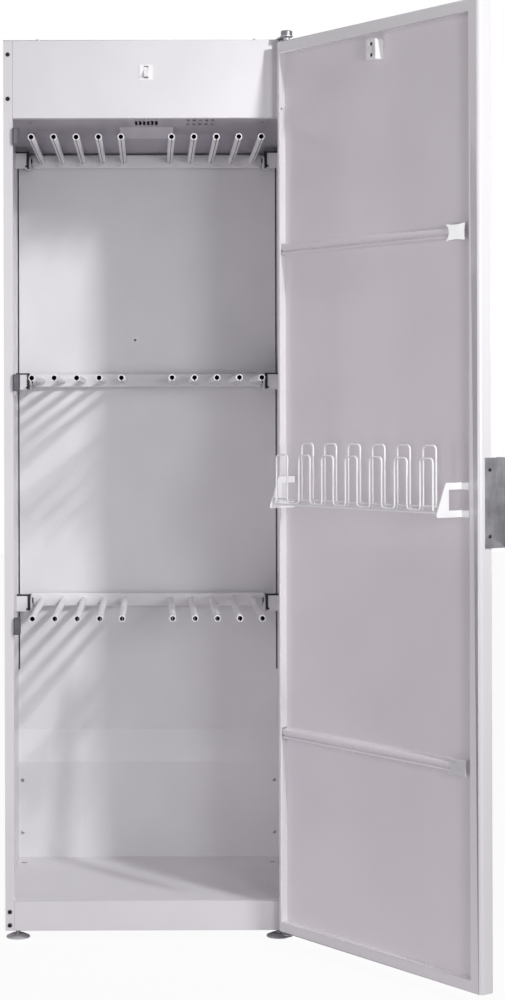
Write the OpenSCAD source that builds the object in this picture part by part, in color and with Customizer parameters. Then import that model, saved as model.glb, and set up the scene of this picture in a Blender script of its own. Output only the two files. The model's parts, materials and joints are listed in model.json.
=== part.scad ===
// Drying cabinet: a tall steel cupboard with a fan and heater above the ceiling,
// three racks of open pipes and one swing door with a wire glove rack inside.
// Millimetres. +X right, +Y into the cabinet, +Z up.
// Origin: on the floor, under the middle of the cabinet's front plane.

/* [Cabinet] */
// Outside width of the cabinet
body_w = 600; // [560:5:700]
// Depth from the front plane to the back
body_d = 520; // [500:5:620]
// Height of the top above the floor
body_h = 1890; // [1850:5:2000]
// Height of the base above the floor
foot_h = 20; // [18:1:40]
// Thickness of the folded sheet
sheet = 1; // [0.8:0.1:1.5]
// Width of the front stiles
stile_w = 19; // [17:1:24]
// Depth of the lips and flanges of the panels
lip_d = 20; // [16:1:22]
// Height of the header panel
header_h = 164; // [150:2:190]
// Height of the plinth panel
plinth_h = 63; // [50:1:90]

/* [Inside] */
// Depth from the front plane to the upper back liner
liner_y = 455; // [440:1:460]
// How far the lower back liner stands forward
liner_step = 15; // [8:1:18]
// Height of the foot of the liner's bent band
band_low_z = 302; // [260:2:330]
// Height of the head of the liner's bent band
band_high_z = 375; // [345:2:420]
// Height where the side air slots begin
slot_low_z = 514; // [460:2:560]
// Width of the air slot at each side of the liner
air_slot = 3; // [2:0.5:6]
// Depth of the level part of the ceiling
service_d = 279; // [265:1:300]
// Half width of the service panel
service_half = 259; // [250:1:265]
// Drop of the sloping part of the ceiling
ceiling_drop = 24; // [20:1:28]

/* [Racks] */
// Distance from the header's foot down to the pipes of the upper rack
rack_drop = 41; // [41:1:60]
// Distance from the pipes of one rack down to those of the next
rack_pitch = 504.5; // [470:0.5:520]
// Outside diameter of a pipe
pipe_d = 14; // [12:0.5:16]
// Bore of a pipe
pipe_bore = 10; // [8:0.5:11]
// Width of the open seam along a pipe
seam_w = 1.2; // [0.8:0.1:2]
// Distance between neighbouring pipes
pipe_pitch = 47; // [44:0.5:48]
// Distance from the middle to the first pipe
first_pipe_x = 53; // [40:1:56]
// Pipes on each side of a rack
pipes_half = 5; // [3:1:5]
// How far the pipe mouths stand in front of the front plane
pipe_reach = 13; // [0:1:14]
// Height of a rack bar
bar_h = 30; // [26:1:31]
// Depth of a rack bar
bar_d = 12; // [10:0.5:12]
// Distance from the liner to the back of a rack bar
bar_gap = 6; // [5.5:0.5:9]
// Distance from the middle to the outside of a rack's end plates
rack_half = 268; // [264:1:270]
// Diameter of the rack pivots
pivot_d = 8; // [6:0.5:9]

/* [Door] */
// Angle of the open door, measured from closed
door_open = 125.2; // [95:0.2:160]
// Thickness of the door
door_t = 30; // [28:1:40]
// Height of the bottom of the door above the floor
door_low_z = 25; // [25:1:40]
// Distance from the cabinet's top down to the door's top
door_top_gap = 11; // [9:0.5:16]
// Gap between the closed door's rim and the front plane
door_gap = 8; // [7:0.5:10]
// Width of the door's rim at the bottom
rim_w = 22; // [18:1:26]
// Width of the door's rim at the top
top_rim_w = 24; // [18:1:28]
// Width of the door's rim on the hinge side
hinge_rim_w = 5; // [4:0.5:8]
// Width of the door's rim on the latch side
latch_rim_w = 30; // [26:1:34]
// Radius of the rim's outer edge on the latch side
latch_r = 8; // [2:0.5:12]
// Depth of the recess in the door's inner face
recess_d = 17; // [15:0.5:20]
// Diameter of the hinge pins
hinge_pin_d = 8; // [6:0.5:9]
// Distance from the door's hinge edge to the pins
hinge_inset = 6.5; // [6.5:0.5:9]
// Distance from the door's rim plane to the pins
hinge_depth = 20; // [18:0.5:20]
// Height of the upper stiffening rail
upper_rail_z = 1447; // [1400:1:1500]
// Height of the lower stiffening rail
lower_rail_z = 439; // [400:1:480]

/* [Glove rack] */
// Height of the foot of the brackets
glove_z = 911; // [880:1:940]
// Height of the brackets
glove_bracket_h = 65; // [60:1:80]
// How far the brackets stand out of the door's rim plane
glove_reach = 63; // [55:1:66]
// Wire diameter of the loops
wire_d = 4; // [3:0.5:4.5]
// Width of a loop, between wire centres
loop_w = 35; // [30:1:38]
// Distance between neighbouring loops
loop_pitch = 72; // [66:1:74]
// Number of short front loops
loops = 7; // [4:1:7]
// Height of the short front loops
short_loop_h = 97; // [80:1:110]
// Height of the tall back loops
tall_loop_h = 121; // [100:1:140]
// Centre line radius of the loops' corners
loop_r = 8; // [6:0.5:10]

/* [Small parts] */
// Height of a door magnet
magnet_h = 35; // [30:1:45]
// Width of a door magnet
magnet_w = 14; // [12:1:18]
// Outside diameter of the exhaust collar
collar_d = 124; // [99:1:149]
// Height of the handle
handle_h = 169; // [140:1:200]
// How far the handle stands out of the door's front
handle_reach = 40; // [28:1:45]
// Diameter of a foot pad
foot_d = 50; // [40:1:54]
// Diameter of a foot's stud
stud_d = 10; // [8:1:12]
// Diameter of the screw heads
screw_d = 9; // [7:0.5:10]
// Diameter of the fan's wheel
wheel_d = 120; // [100:2:126]
// Blades on the fan's wheel
blades = 24; // [16:1:28]

/* [Hidden] */
$fn = 48;
eps = 0.01;
half_w = body_w / 2;
inner_half = half_w - sheet;
opening_half = half_w - stile_w;
plinth_top = foot_h + plinth_h;
header_low = body_h - header_h;
inner_top = body_h - sheet;
back_y = body_d - 2 * sheet;
lower_liner_y = liner_y - liner_step;
ceiling_back_z = header_low - ceiling_drop;
duct_y = liner_y + sheet;
run_gap = 0.3;
pin_gap = 0.05;
rack_z = [for (i = [0 : 2]) header_low - rack_drop - i * rack_pitch];
rack_colour = [0.89, 0.89, 0.9];
shell_colour = [0.91, 0.9, 0.91];
dark_colour = [0.3, 0.3, 0.32];
steel_colour = [0.6, 0.6, 0.62];

// Racks
bar_back_y = liner_y - bar_gap;
bar_front_y = bar_back_y - bar_d;
end_t = 2;
end_inner = rack_half - end_t;
pivot_y = bar_front_y - 11;
end_front_y = pivot_y - 40;
end_low = 21.7;
end_high = 13;
bracket_x = rack_half + 6;
bracket_front_y = end_front_y - 2;
cap_t = 3.5;
lug_d = 14;
rivet_d = 6;
corner_cut = 8;

// Door, drawn closed as (distance from the hinge edge, height above the rim plane, z)
hinge_x = half_w - hinge_inset;
hinge_y = -door_gap - hinge_depth;
door_top_z = body_h - door_top_gap;
door_h = door_top_z - door_low_z;
skin_n = -door_t;
panel_n = -recess_d;
latch_edge = body_w - latch_rim_w;
panel_lap = 5;
bush_l = min(rim_w, top_rim_w) - panel_lap - 0.5;
rail_half = 15;
rail_top_n = panel_n + 12;
rails_z = [upper_rail_z, lower_rail_z];
clip_w = 55;
clip_end = latch_edge - 12;
strike_s = body_w / 2;
strike_z = body_h - 68;
strike_w = 28;
strike_h = 42;
strike_top_n = door_gap - 4;
strike_hole_gap = 22;

// Glove rack, in door coordinates
arm_s = 50;
arm_t = 2;
arm_h = 13;
arm_window_n = 32;
arm_head_n = 39;
loops_mid_n = glove_reach - 10;
front_n = loops_mid_n + wire_d + 0.1;
back_n = loops_mid_n - wire_d - 0.1;
loops_z = glove_z + 13;
loops_s = (body_w - (loops - 1) * loop_pitch - loop_w) / 2;

// Switch, magnets and handle
switch_z = strike_z;
switch_w = 24;
switch_h = 28;
bezel_w = 28;
bezel_h = 32;
bezel_out = 1.4;
lever_w = 9;
lever_out = 10;
lever_pivot_z = switch_z + 9.5;
lever_pivot_y = 4;
magnet_rise = [3, -9.5, -17];
magnets_z = [for (i = [0 : 2]) rack_z[i] + magnet_rise[i]];
magnet_front_y = -door_gap + 0.5;
handle_mid_z = 938.5;
handle_t = 2;
handle_start_n = -12;
handle_end_n = skin_n - handle_reach;
handle_curl = 24;
handle_screw_gap = 124;

// Feet
foot_x = half_w - 25;
foot_front_y = 30;
foot_back_y = body_d - 40;

// Fan and heater
fan_x = 0;
fan_y = 100;
fan_low_z = header_low + 3 * sheet;
wheel_gap = 14;
housing_d = wheel_d + 2 * wheel_gap;
housing_h = 72;
wheel_h = 48;
shaft_d = 8;
motor_d = 84;
motor_h = 46;
duct_w = 150;
duct_end_y = duct_y + 4;

// ---- helpers ----

module box(low, high) {
    translate(low) cube(high - low);
}

// Rectangle with round corners, from its low corner
module round_rect(w, h, r) {
    translate([r, 0]) square([w - 2 * r, h]);
    translate([0, r]) square([w, h - 2 * r]);
    for (x = [r, w - r], y = [r, h - r]) translate([x, y]) circle(r);
}

// Outline in Y and Z, drawn along X from x_low to x_high
module along_x(x_low, x_high) {
    translate([x_low, 0, 0]) rotate([90, 0, 90]) linear_extrude(x_high - x_low) children();
}

// Outline in X and Z, drawn along Y from y_low to y_high
module along_y(y_low, y_high) {
    translate([0, y_high, 0]) rotate([90, 0, 0]) linear_extrude(y_high - y_low) children();
}

module both_sides() {
    children();
    mirror([1, 0, 0]) children();
}

// Pan-head screw: head above z = 0 with a cross recess, shank below
module screw(head_d, head_h, shank_d, shank_l) {
    difference() {
        union() {
            cylinder(d = head_d, h = head_h * 0.5);
            translate([0, 0, head_h * 0.5])
                cylinder(d1 = head_d, d2 = head_d * 0.6, h = head_h * 0.5);
            translate([0, 0, -shank_l]) cylinder(d = shank_d, h = shank_l + eps);
        }
        for (turn = [0, 90]) rotate([0, 0, turn])
            translate([-head_d * 0.25, -head_d * 0.05, head_h * 0.45])
                cube([head_d * 0.5, head_d * 0.1, head_h]);
    }
}

// ---- cabinet shell ----

// One folded sheet: wall, front stile with its lip, rear flange
module side_sheet() {
    difference() {
        translate([0, 0, foot_h]) linear_extrude(inner_top - foot_h) {
            translate([-half_w, 0]) square([sheet, body_d]);
            translate([-half_w, 0]) square([stile_w, sheet]);
            translate([-opening_half - sheet, 0]) square([sheet, lip_d]);
            translate([-half_w, body_d - sheet]) square([stile_w, sheet]);
        }
        for (z = stile_screw_z())
            translate([-half_w + stile_w / 2, -eps, z]) rotate([-90, 0, 0])
                cylinder(d = stile_shank_d, h = sheet + 2 * eps);
    }
}

stile_shank_d = 4;
function stile_screw_z() = [body_h - 30, body_h - 123, foot_h + 39.5, foot_h + 11.6];

module left_side_panel() color(shell_colour) side_sheet();

module right_side_panel() color(shell_colour) mirror([1, 0, 0]) side_sheet();

top_screw_x = 228;
module top_screw_places() {
    for (x = [-top_screw_x, top_screw_x], y = [9, body_d - 12])
        translate([x, y, body_h]) children();
}

module top_panel() color(shell_colour) difference() {
    union() {
        box([-half_w, 0, inner_top], [half_w, body_d, body_h]);
        both_sides() box([inner_half - sheet, lip_d + 1, inner_top - lip_d],
                         [inner_half, back_y, inner_top + eps]);
    }
    top_screw_places() translate([0, 0, -sheet - eps])
        cylinder(d = stile_shank_d, h = sheet + 2 * eps);
    translate([collar_x, collar_y, inner_top - 1]) cylinder(d = collar_d - 3, h = 3 * sheet);
}

// Spigot that an exhaust duct slides over, behind the top's middle
collar_x = -140;
collar_y = body_d - 125;
collar_h = 50;
module exhaust_collar() color(steel_colour) translate([collar_x, collar_y, body_h])
    rotate_extrude($fn = 96) difference() {
        union() {
            square([collar_d / 2 + 14, 1.5]);
            square([collar_d / 2, collar_h - 3]);
            translate([0, collar_h - 3]) polygon([[0, -eps], [collar_d / 2, -eps],
                [collar_d / 2 - 1, 3], [0, 3]]);
        }
        translate([-1, -1]) square([collar_d / 2 - 0.5, collar_h + 2]);
    }

gland_x = 180;
gland_z = body_h - 60;
gland_d = 20;
gland_bore = 10;
module back_panel() color(shell_colour) difference() {
    box([-inner_half, back_y, foot_h + sheet], [inner_half, body_d - sheet, inner_top]);
    translate([gland_x, back_y - eps, gland_z]) rotate([-90, 0, 0])
        cylinder(d = gland_d, h = sheet + 2 * eps);
}

module base_panel() color(shell_colour) difference() {
    box([-inner_half, lip_d, foot_h], [inner_half, body_d - sheet, foot_h + sheet]);
    foot_places() cylinder(d = stud_d, h = 2 * foot_h);
}

module header_panel() color(shell_colour) difference() {
    union() {
        box([-opening_half, 0, header_low], [opening_half, sheet, inner_top]);
        box([-opening_half, 0, header_low], [opening_half, lip_d, header_low + sheet]);
        both_sides() box([opening_half - sheet, 0, header_low], [opening_half, lip_d, inner_top]);
        box([-opening_half, 0, inner_top - sheet], [opening_half, lip_d, inner_top]);
    }
    box([-switch_w / 2, -eps, switch_z - switch_h / 2], [switch_w / 2, 2 * sheet, switch_z + switch_h / 2]);
    for (x = [-top_screw_x, top_screw_x])
        translate([x, 9, inner_top - 2 * sheet]) cylinder(d = stile_shank_d, h = 3 * sheet);
}

module plinth_panel() color(shell_colour) {
    box([-opening_half, 0, foot_h], [opening_half, sheet, plinth_top - sheet]);
    box([-opening_half, 0, foot_h], [opening_half, lip_d, foot_h + sheet]);
    both_sides() box([opening_half - sheet, 0, foot_h], [opening_half, lip_d, plinth_top - sheet]);
}

floor_slot_x = inner_half - 23;
floor_slot_y = 376;
module floor_panel() color(shell_colour) difference() {
    union() {
        box([-opening_half, 0, plinth_top - sheet], [opening_half, lip_d + eps, plinth_top]);
        box([-inner_half, lip_d, plinth_top - sheet], [inner_half, lower_liner_y + sheet, plinth_top]);
    }
    both_sides() box([floor_slot_x, floor_slot_y, plinth_top - 2 * sheet],
                     [floor_slot_x + 12, floor_slot_y + 9, plinth_top + eps]);
}

module liner_outline() {
    polygon([[lower_liner_y, plinth_top], [lower_liner_y, band_low_z], [liner_y, band_high_z],
             [liner_y, ceiling_back_z], [duct_y, ceiling_back_z], [duct_y, band_high_z],
             [lower_liner_y + sheet, band_low_z], [lower_liner_y + sheet, plinth_top]]);
}

liner_hole_z = 1274;
module back_liner() color(shell_colour) difference() {
    along_x(-inner_half, inner_half) liner_outline();
    both_sides() box([inner_half - air_slot, liner_y - eps, slot_low_z],
                     [half_w, duct_y + eps, ceiling_back_z + eps]);
    translate([-28, liner_y - 1, liner_hole_z]) rotate([-90, 0, 0]) cylinder(d = 5, h = 4);
    liner_screw_places() translate([0, 0, -2 * sheet]) cylinder(d = 4, h = 3 * sheet);
}

// Screws that hold the lower liner, near the floor
module liner_screw_places() {
    for (x = [9 - inner_half, inner_half - 9], z = [plinth_top + 57, plinth_top + 177])
        translate([x, lower_liner_y, z]) rotate([90, 0, 0]) children();
}

// Sloping outline of the ceiling's rear part, in Y and Z
module slope_outline() {
    polygon([[service_d, header_low], [liner_y + sheet, ceiling_back_z],
             [liner_y + sheet, ceiling_back_z + sheet], [service_d + 3, header_low + sheet],
             [service_d, header_low + 2 * sheet]]);
}

ledge_in = 18;
ceiling_screw_x = service_half - 13;
ceiling_screw_y = [65, 238];
module ceiling_screw_places() {
    for (x = [-ceiling_screw_x, ceiling_screw_x], y = ceiling_screw_y)
        translate([x, y, header_low]) mirror([0, 0, 1]) children();
}

module ceiling_panel() color(shell_colour) difference() {
    union() {
        both_sides() box([service_half, lip_d, header_low],
                         [inner_half, service_d + eps, header_low + sheet]);
        both_sides() box([service_half - ledge_in, lip_d, header_low + sheet],
                         [service_half + 8, service_d, header_low + 2 * sheet]);
        box([-inner_half, service_d - ledge_in, header_low + sheet],
            [inner_half, service_d, header_low + 2 * sheet]);
        along_x(-inner_half, inner_half) slope_outline();
    }
    ceiling_screw_places() translate([0, 0, -3 * sheet]) cylinder(d = 4, h = 4 * sheet);
}

grille_cols = 6;
grille_pitch = 8.6;
grille_slot_w = 5.6;
grille_rows = [[23, 33], [48, 118]];
vent_cols = 5;
vent_pitch = 13;
vent_slot_w = 6;
vent_x = 115;
vent_rows = [[28, 50], [90, 112]];

module slots(mid_x, cols, pitch, slot_w, rows) {
    for (row = rows, i = [0 : cols - 1])
        translate([mid_x + (i - (cols - 1) / 2) * pitch - slot_w / 2, row[0], 0])
            round_rect(slot_w, row[1] - row[0], slot_w / 2 - eps);
}

tab_marks = [[-70, 139], [153, 139]];
module service_panel() color(shell_colour) difference() {
    union() {
        translate([0, 0, header_low]) linear_extrude(sheet) difference() {
            translate([-service_half + 0.4, lip_d + 0.2])
                square([2 * service_half - 0.8, service_d - lip_d - 0.4]);
            slots(fan_x, grille_cols, grille_pitch, grille_slot_w, grille_rows);
            slots(vent_x, vent_cols, vent_pitch, vent_slot_w, vent_rows);
            for (at = tab_marks) translate(at) difference() {
                circle(5);
                circle(3.5);
                translate([-6, 0]) square([12, 6]);
            }
        }
    }
    ceiling_screw_places() translate([0, 0, -2 * sheet]) cylinder(d = 4, h = 3 * sheet);
}

module panel_screws() color(steel_colour) {
    ceiling_screw_places() screw(8, 2, 4, 8);
    liner_screw_places() screw(8, 2, 4, 8);
}

module stile_screws() color(steel_colour)
    both_sides() for (z = stile_screw_z())
        translate([-half_w + stile_w / 2, 0, z]) rotate([90, 0, 0])
            screw(screw_d, 2.5, stile_shank_d, 12);

module top_screws() color(steel_colour) top_screw_places() screw(screw_d, 3, stile_shank_d, 8);

// Curved scoop, narrower at its rear, that turns the air forward under the fan's grille
deflector_w = 119;
deflector_rear_w = 92;
deflector_y = [148, 262];
deflector_drop = 17;
module air_deflector() color(shell_colour) {
    run = deflector_y[1] - deflector_y[0];
    radius = (run * run / 4 + deflector_drop * deflector_drop) / (2 * deflector_drop);
    intersection() {
        along_x(fan_x - deflector_w / 2, fan_x + deflector_w / 2)
            translate([(deflector_y[0] + deflector_y[1]) / 2, header_low - deflector_drop + radius])
                difference() {
                    circle(radius, $fn = 180);
                    circle(radius - sheet, $fn = 180);
                }
        translate([fan_x, 0, header_low - 2 * deflector_drop]) linear_extrude(2 * deflector_drop)
            polygon([[-deflector_w / 2, deflector_y[0] - 2], [deflector_w / 2, deflector_y[0] - 2],
                     [deflector_rear_w / 2, deflector_y[1] + 2], [-deflector_rear_w / 2, deflector_y[1] + 2]]);
    }
}

// ---- feet ----

module foot_places() {
    for (x = [-foot_x, foot_x], y = [foot_front_y, foot_back_y]) translate([x, y, 0]) children();
}

pad_h = 8;
module foot_pads() color(dark_colour) foot_places() difference() {
    union() {
        cylinder(d = foot_d, h = pad_h * 0.35);
        translate([0, 0, pad_h * 0.35]) cylinder(d1 = foot_d, d2 = foot_d * 0.55, h = pad_h * 0.65);
    }
    translate([0, 0, pad_h / 2]) cylinder(d = stud_d, h = pad_h);
}

nut_gap = 1;
module foot_studs() color(steel_colour) foot_places() {
    translate([0, 0, pad_h / 2]) cylinder(d = stud_d, h = plinth_top - pad_h - 20);
    translate([0, 0, foot_h + sheet]) cylinder(d = stud_d * 1.7, h = stud_d * 0.8, $fn = 6);
}

// ---- hinges on the cabinet ----

plate_t = 3;
module hinge_plate() difference() {
    nose_r = 13;
    side_x = hinge_x - nose_r - 8;
    union() {
        translate([hinge_x, hinge_y, 0]) cylinder(r = nose_r, h = plate_t);
        linear_extrude(plate_t)
            polygon([[hinge_x - nose_r + 2, hinge_y - 6], [side_x, 12],
                     [side_x, 64], [half_w - 1, 64], [half_w - 1, 12],
                     [hinge_x + nose_r - 2, hinge_y - 6]]);
    }
    translate([hinge_x, hinge_y, -1]) cylinder(d = hinge_pin_d, h = plate_t + 2);
}

module top_hinge_bracket() color(steel_colour) translate([0, 0, body_h]) hinge_plate();

module lower_hinge_bracket() color(steel_colour) difference() {
    translate([0, 0, foot_h - plate_t]) hinge_plate();
    translate([foot_x, foot_front_y, 0]) cylinder(d = stud_d + 1, h = foot_h + 1);
}

cap_d = 24;
cap_h = 10;
pin_l = bush_l - 1.5;
module top_hinge_pin() color(steel_colour) translate([hinge_x, hinge_y, 0]) {
    translate([0, 0, body_h + plate_t]) {
        cylinder(d = cap_d, h = cap_h - 1.5);
        translate([0, 0, cap_h - 1.5]) cylinder(d1 = cap_d, d2 = cap_d - 3, h = 1.5);
    }
    translate([0, 0, door_top_z - pin_l])
        cylinder(d = hinge_pin_d, h = body_h + plate_t - door_top_z + pin_l);
}

module lower_hinge_pin() color(steel_colour) translate([hinge_x, hinge_y, 0]) {
    translate([0, 0, foot_h - plate_t - 3]) cylinder(d = hinge_pin_d + 6, h = 3);
    translate([0, 0, foot_h - plate_t]) cylinder(d = hinge_pin_d, h = door_low_z + pin_l - foot_h + plate_t);
    translate([0, 0, foot_h]) difference() {
        cylinder(d = hinge_pin_d + 8, h = door_low_z - foot_h - run_gap);
        translate([0, 0, -eps]) cylinder(d = hinge_pin_d - 1, h = door_low_z);
    }
}

// ---- door magnets and switch ----

module magnet_housings() color(dark_colour) for (z = magnets_z)
    difference() {
        box([-opening_half, magnet_front_y + 1.5, z - magnet_h / 2],
            [-opening_half + magnet_w, lip_d - 2, z + magnet_h / 2]);
        box([-opening_half + 3, magnet_front_y + 1, z - magnet_h / 2 + 2],
            [-opening_half + magnet_w - 3, magnet_front_y + 5.5, z + magnet_h / 2 - 2]);
    }

// Two steel pole strips with the magnet between them, a step back
module magnet_plates() color(steel_colour) for (z = magnets_z) {
    low_x = -opening_half + 3;
    high_x = -opening_half + magnet_w - 3;
    for (x = [low_x, high_x - 2])
        box([x, magnet_front_y, z - magnet_h / 2 + 2], [x + 2, magnet_front_y + 5.5, z + magnet_h / 2 - 2]);
    box([low_x + 2, magnet_front_y + 2, z - magnet_h / 2 + 2],
        [high_x - 2, magnet_front_y + 5.5, z + magnet_h / 2 - 2]);
}

module switch_body() color(shell_colour) translate([0, 0, switch_z]) difference() {
    union() {
        box([-switch_w / 2 + pin_gap, -eps, -switch_h / 2 + pin_gap],
            [switch_w / 2 - pin_gap, 24, switch_h / 2 - pin_gap]);
        along_y(-bezel_out, 0) translate([-bezel_w / 2, -bezel_h / 2]) round_rect(bezel_w, bezel_h, 2);
        both_sides() box([switch_w / 2 - 1, sheet, -switch_h / 4], [switch_w / 2 + 1.5, 6, switch_h / 4]);
    }
    // Well that the lever swings in
    box([-lever_w / 2 - 0.4, -bezel_out - 1, -switch_h / 2 + 1], [lever_w / 2 + 0.4, 14, switch_h / 2 - 0.5]);
    translate([-lever_w / 2 - 2, lever_pivot_y, lever_pivot_z - switch_z]) rotate([0, 90, 0])
        cylinder(r = 1.5 + pin_gap, h = lever_w + 4);
}

// Wedge hinged at its top, whose foot stands out of the header
module switch_lever() color(shell_colour) translate([0, 0, lever_pivot_z]) {
    along_x(-lever_w / 2, lever_w / 2) {
        translate([lever_pivot_y, 0]) circle(2.6);
        polygon([[lever_pivot_y - 2.6, 0], [-lever_out + 2, -13.5], [-lever_out, -16.5],
                 [-lever_out + 2, -19], [lever_pivot_y - 3, -20],
                 [lever_pivot_y, -13], [lever_pivot_y + 2.6, 0]]);
    }
    translate([-lever_w / 2 - 1.6, lever_pivot_y, 0]) rotate([0, 90, 0]) cylinder(r = 1.5, h = lever_w + 3.2);
}

// ---- fan and heater above the ceiling ----

motor_low_z = fan_low_z + housing_h;
module fan_housing() color(steel_colour) {
    wall = 1.5;
    difference() {
        union() {
            translate([fan_x, fan_y, fan_low_z - sheet]) cylinder(d = housing_d, h = housing_h + sheet);
            box([fan_x, fan_y, fan_low_z - sheet], [fan_x + duct_w / 2, duct_end_y, motor_low_z]);
            box([fan_x - duct_w / 2, fan_y + 60, fan_low_z - sheet], [fan_x + eps, duct_end_y, motor_low_z]);
        }
        translate([fan_x, fan_y, fan_low_z - sheet + wall])
            cylinder(d = housing_d - 2 * wall, h = housing_h + sheet - 2 * wall);
        box([fan_x, fan_y, fan_low_z - sheet + wall],
            [fan_x + duct_w / 2 - wall, duct_end_y + eps, motor_low_z - wall]);
        box([fan_x - duct_w / 2 + wall, fan_y + 60 + wall, fan_low_z - sheet + wall],
            [fan_x + eps, duct_end_y + eps, motor_low_z - wall]);
        // Inlet over the ceiling's grille and hole for the shaft
        translate([fan_x, fan_y, fan_low_z - 2 * sheet]) cylinder(d = wheel_d * 0.7, h = 4 * sheet);
        translate([fan_x, fan_y, motor_low_z - 2 * wall]) cylinder(d = shaft_d + 6, h = 3 * wall);
    }
}

module fan_motor() color(dark_colour) translate([fan_x, fan_y, motor_low_z]) difference() {
    union() {
        cylinder(d = motor_d, h = 6);
        translate([0, 0, 6 - eps]) cylinder(d = motor_d - 12, h = motor_h - 6);
    }
    translate([0, 0, -eps]) cylinder(d = shaft_d + 2 * pin_gap, h = motor_h - 4);
}

wheel_low_z = fan_low_z + 10;
module fan_wheel() color(steel_colour) translate([fan_x, fan_y, wheel_low_z]) {
    back_t = 1.5;
    difference() {
        union() {
            translate([0, 0, wheel_h - back_t]) cylinder(d = wheel_d, h = back_t);
            translate([0, 0, wheel_h - 18]) cylinder(d = shaft_d + 12, h = 18);
        }
        translate([0, 0, wheel_h - 20]) cylinder(d = shaft_d, h = 22);
    }
    difference() {
        cylinder(d = wheel_d, h = back_t);
        translate([0, 0, -1]) cylinder(d = wheel_d - 24, h = back_t + 2);
    }
    for (i = [0 : blades - 1]) rotate([0, 0, i * 360 / blades])
        translate([wheel_d / 2 - 11, 0, back_t]) rotate([0, 0, 28])
            translate([0, -0.5, 0]) cube([9, 1, wheel_h - 2 * back_t]);
}

module fan_shaft() color(steel_colour) translate([fan_x, fan_y, wheel_low_z + wheel_h - 20])
    cylinder(d = shaft_d, h = motor_low_z + motor_h - 6 - wheel_low_z - wheel_h + 20);

heater_y = 300;
heater_d = 40;
rod_d = 7;
heater_rod_z = [18, 36, 54];
module heater_frame() color(steel_colour) translate([fan_x, heater_y, fan_low_z + 0.5]) {
    high = housing_h - 2;
    for (side = [-1, 1]) translate([side * (duct_w / 2 - 2.5) - 1, 0, 0]) difference() {
        cube([2, heater_d, high - 1]);
        for (z = heater_rod_z, y = [12, 28])
            translate([-1, y, z]) rotate([0, 90, 0]) cylinder(d = rod_d, h = 4);
    }
}

module heater_rods() color(dark_colour) translate([fan_x, heater_y, fan_low_z + 0.5])
    for (z = heater_rod_z, y = [12, 28])
        translate([-duct_w / 2 + 2, y, z]) rotate([0, 90, 0]) cylinder(d = rod_d, h = duct_w - 4);

// Closed box on the back panel, where the mains lead enters
box_low = [gland_x - 40, back_y - 138, header_low + 40];
box_high = [gland_x + 70, back_y, inner_top - 30];
box_wall = [4, 4, 4];
module terminal_box() color(dark_colour) difference() {
    box(box_low, box_high);
    translate([gland_x, back_y - 2 * box_wall[1], gland_z]) rotate([-90, 0, 0])
        cylinder(d = gland_bore + 4, h = 3 * box_wall[1]);
    box(box_low + box_wall, box_high - box_wall);
}

module cable_gland() color(dark_colour) translate([gland_x, back_y, gland_z]) rotate([-90, 0, 0])
    difference() {
        union() {
            cylinder(d = gland_d, h = 16);
            translate([0, 0, sheet]) cylinder(d = gland_d + 8, h = 5, $fn = 6);
            translate([0, 0, 16 - eps]) cylinder(d1 = gland_d, d2 = gland_d - 6, h = 4);
        }
        translate([0, 0, -eps]) cylinder(d = gland_bore, h = 24);
    }

// ---- racks ----

// Fixed bracket on each side wall: wall flange, front web, pivot plate and stop lug
module rack_brackets(z) color(rack_colour) both_sides() translate([0, 0, z]) difference() {
    union() {
        translate([0, 0, -end_low]) linear_extrude(end_low + end_high) {
            translate([bracket_x, bracket_front_y]) square([end_t, bar_back_y - bracket_front_y]);
            translate([bracket_x, bracket_front_y]) square([inner_half - bracket_x, end_t]);
            translate([inner_half - end_t, bracket_front_y]) square([end_t, 34]);
        }
        box([end_inner - 2, end_front_y + 3, -end_low - end_t - run_gap],
            [bracket_x + end_t, end_front_y + 3 + lug_d, -end_low - run_gap]);
        box([bracket_x, end_front_y + 3, -end_low - run_gap - eps],
            [bracket_x + end_t, end_front_y + 3 + lug_d, -end_low + eps]);
    }
    translate([bracket_x - 1, pivot_y, 0]) rotate([0, 90, 0]) cylinder(d = pivot_d, h = end_t + 2);
}

// Moulded pivot piece between end plate and bracket, with a cap above the web and a foot
module rack_pivots(z) color(dark_colour) both_sides() translate([0, 0, z]) {
    plate_x = rack_half + run_gap;
    box([plate_x, bracket_front_y, -end_low + 3], [bracket_x, bar_back_y - 3, end_high]);
    box([plate_x, bracket_front_y, end_high], [inner_half, bracket_front_y + 12, end_high + cap_t]);
    box([plate_x, bracket_front_y - 2, -end_low + 3], [bracket_x + 3, bracket_front_y, -end_low + 7]);
    box([plate_x, bracket_front_y - 2, -end_low + 3], [bracket_x, bracket_front_y, end_high + cap_t]);
    translate([0, pivot_y, 0]) rotate([0, 90, 0]) {
        translate([0, 0, end_inner - 2.5 - run_gap]) cylinder(d = pivot_d + 4, h = 2.5);
        translate([0, 0, end_inner - 1]) cylinder(d = pivot_d, h = bracket_x + end_t + 1 - end_inner);
        translate([0, 0, bracket_x + end_t]) cylinder(d = pivot_d + 4, h = 2);
    }
}

// Outline of a rack bar in Y and Z: a channel with round bends, open to the back
module bar_outline() {
    wall = 1.2;
    bend = 3;
    difference() {
        translate([bar_front_y, -bar_h / 2]) round_rect(bar_d + bend, bar_h, bend);
        translate([bar_front_y + wall, -bar_h / 2 + wall])
            round_rect(bar_d + bend, bar_h - 2 * wall, bend - wall);
        translate([bar_back_y, -bar_h]) square([2 * bend, 2 * bar_h]);
    }
}

module end_plate_outline() {
    nose = 9;
    difference() {
        union() {
            polygon([[end_front_y + nose, -end_low], [bar_back_y, -end_low], [bar_back_y, end_high],
                     [pivot_y - 8, end_high], [end_front_y, 2], [end_front_y, -end_low + nose]]);
            translate([end_front_y + nose, -end_low + nose]) circle(nose);
        }
        translate([pivot_y, 0]) circle(d = pivot_d + 2 * pin_gap);
    }
}

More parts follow.
